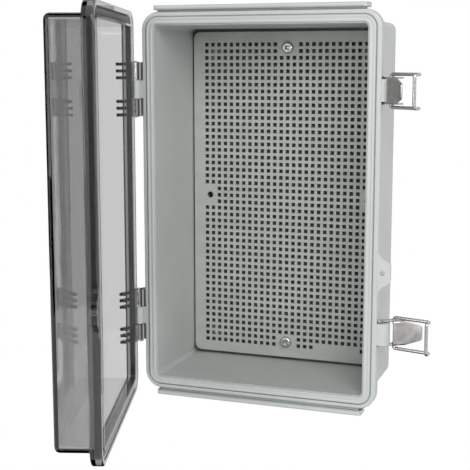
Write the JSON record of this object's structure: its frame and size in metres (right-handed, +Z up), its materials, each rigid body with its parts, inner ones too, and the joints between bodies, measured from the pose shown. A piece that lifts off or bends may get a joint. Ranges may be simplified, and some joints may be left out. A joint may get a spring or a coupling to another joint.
{
  "type": "junction box",
  "caption": "Weatherproof wall enclosure with a side-hinged clear lid, a gasket in the lid, wire draw latches and a perforated mounting plate for devices.",
  "frame": {"origin": "centre of the back face, on the wall", "axes": "+X to the right, +Y into the wall, +Z up"},
  "size_m": [0.2206, 0.2382, 0.26],
  "materials": {
    "grey_abs": "fine moulded texture",
    "plate_abs": "fine moulded texture",
    "smoke_polycarbonate": "clear, polished",
    "gasket_rubber": "matte",
    "stainless_steel": "tumbled",
    "brass": "turned"
  },
  "bodies": {
    "enclosure": {"enclosure_body": "grey_abs", "mounting_plate": "plate_abs", "upper_plate_screw": "stainless_steel", "lower_plate_screw": "stainless_steel", "top_plate_insert": "brass", "bottom_plate_insert": "brass", "left_plate_insert": "brass", "right_plate_insert": "brass", "upper_left_wall_insert": "brass", "upper_right_wall_insert": "brass", "lower_left_wall_insert": "brass", "lower_right_wall_insert": "brass", "upper_hinge_pin": "stainless_steel", "lower_hinge_pin": "stainless_steel", "upper_latch_pin": "stainless_steel", "lower_latch_pin": "stainless_steel"},
    "lid": {"lid": "smoke_polycarbonate", "lid_gasket": "gasket_rubber"},
    "upper_lever": {"upper_latch_lever": "stainless_steel"},
    "lower_lever": {"lower_latch_lever": "stainless_steel"},
    "upper_bail": {"upper_latch_bail": "stainless_steel"},
    "lower_bail": {"lower_latch_bail": "stainless_steel"}
  },
  "joints": [
    {"name": "lid_hinge", "type": "hinge", "parent": "enclosure", "child": "lid", "pos_m": [-0.0845, -0.0732, 0], "axis": [0, 0, -1], "range_deg": [-72, 103]},
    {"name": "upper_lever_pivot", "type": "hinge", "parent": "enclosure", "child": "upper_lever", "pos_m": [0.08, -0.067, 0.0765], "axis": [0, 0, -1], "range_deg": [-130, 2]},
    {"name": "upper_bail_pivot", "type": "hinge", "parent": "upper_lever", "child": "upper_bail", "pos_m": [0.08648, -0.07452, 0.0765], "axis": [0, 0, 1], "range_deg": [-186.1, 3]},
    {"name": "lower_lever_pivot", "type": "hinge", "parent": "enclosure", "child": "lower_lever", "pos_m": [0.08, -0.067, -0.0765], "axis": [0, 0, -1], "range_deg": [-55, 77]},
    {"name": "lower_bail_pivot", "type": "hinge", "parent": "lower_lever", "child": "lower_bail", "pos_m": [0.08894, -0.06269, -0.0765], "axis": [0, 0, 1], "range_deg": [-131.1, 183.5]}
  ],
  "couplings": [
    {"joint": "upper_bail_pivot", "follows": "upper_lever_pivot", "ratio": 1.4308},
    {"joint": "lower_bail_pivot", "follows": "lower_lever_pivot", "ratio": 2.3818}
  ]
}
